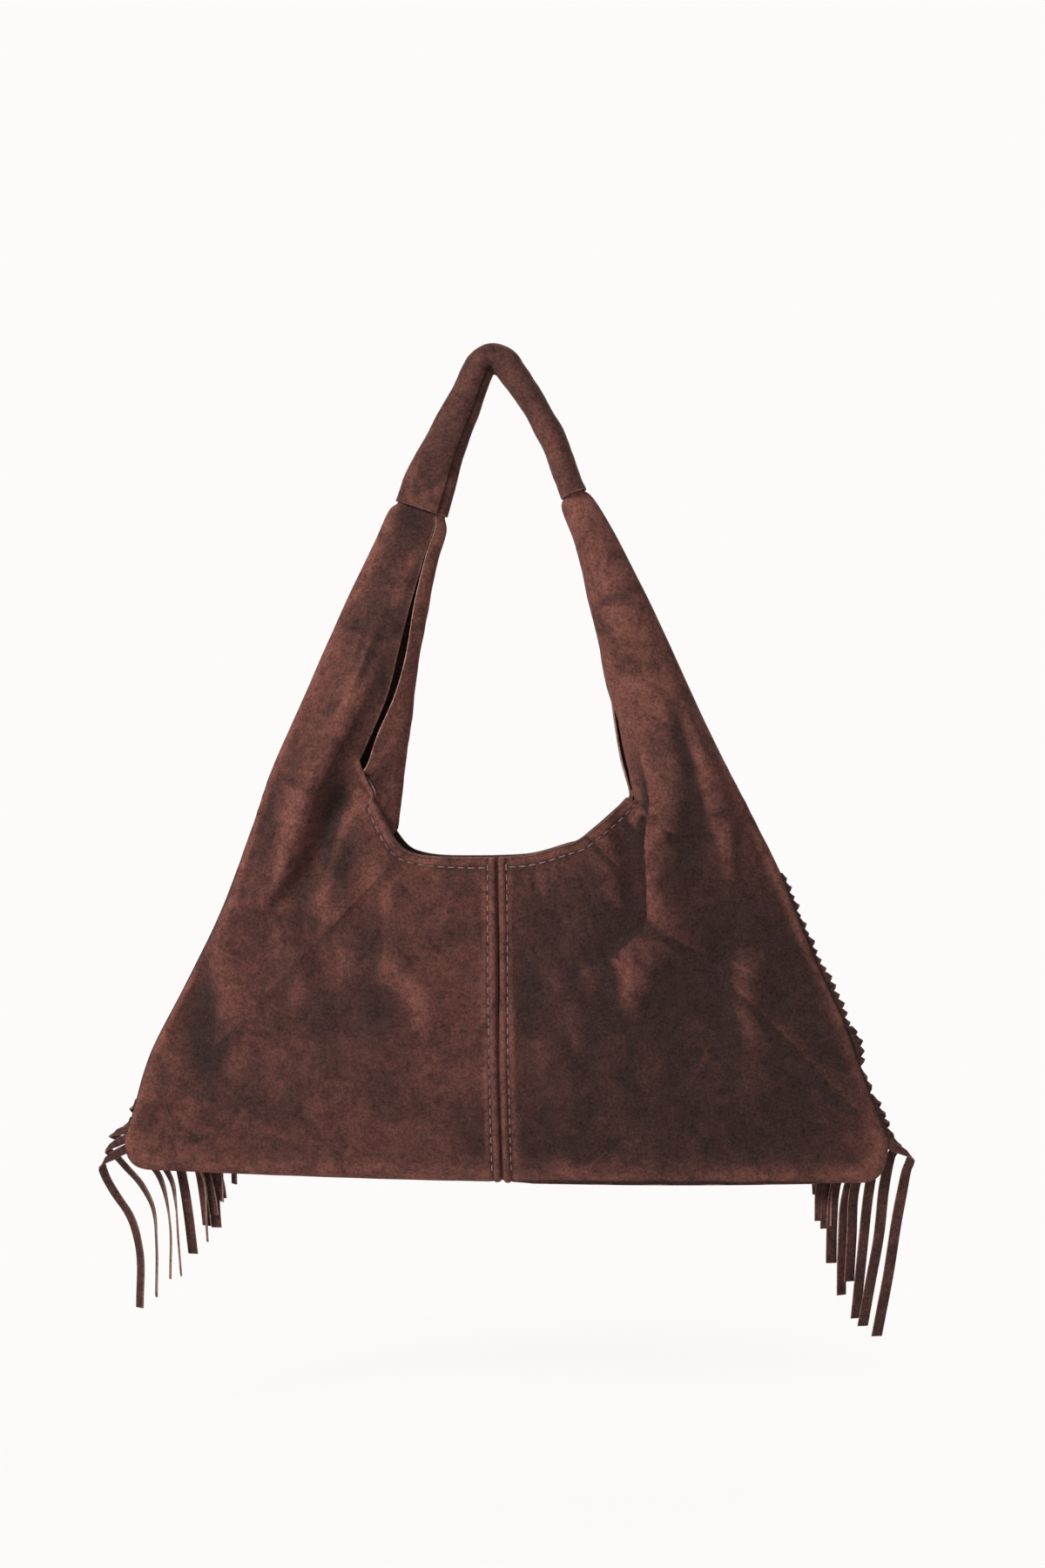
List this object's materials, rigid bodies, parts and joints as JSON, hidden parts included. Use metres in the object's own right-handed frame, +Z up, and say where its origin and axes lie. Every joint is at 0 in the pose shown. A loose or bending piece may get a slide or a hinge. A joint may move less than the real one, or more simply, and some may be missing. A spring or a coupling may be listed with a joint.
{
  "type": "fringed suede shoulder bag",
  "caption": "slouchy suede shoulder bag: two-panel sides run up into rolled ears joined by a sleeve handle, cut fringe sewn in both side seams falls over the far side",
  "frame": {"origin": "the inner apex of the handle, where the bag hangs", "axes": "+X right, +Z up along the hanging height, the plain near side faces -Y and the fringe falls over the +Y side"},
  "size_m": [0.4586, 0.0515, 0.5677],
  "materials": {
    "suede_body": "dark brown split suede, short mottled nap with lighter rubbed patches, light raw cut edges",
    "suede_facing": "the same suede, less rubbed",
    "suede_handle": "the same suede, rubbed lighter along the edges",
    "suede_fringe": "the same suede cut into narrow strands, light cut edges"
  },
  "bodies": {
    "root": {"near_left_panel": "suede_body", "near_right_panel": "suede_body", "far_left_panel": "suede_body", "far_right_panel": "suede_body", "near_rim_facing": "suede_facing", "far_rim_facing": "suede_facing", "handle_sleeve": "suede_handle", "left_fringe": "suede_fringe", "right_fringe": "suede_fringe"}
  },
  "joints": []
}
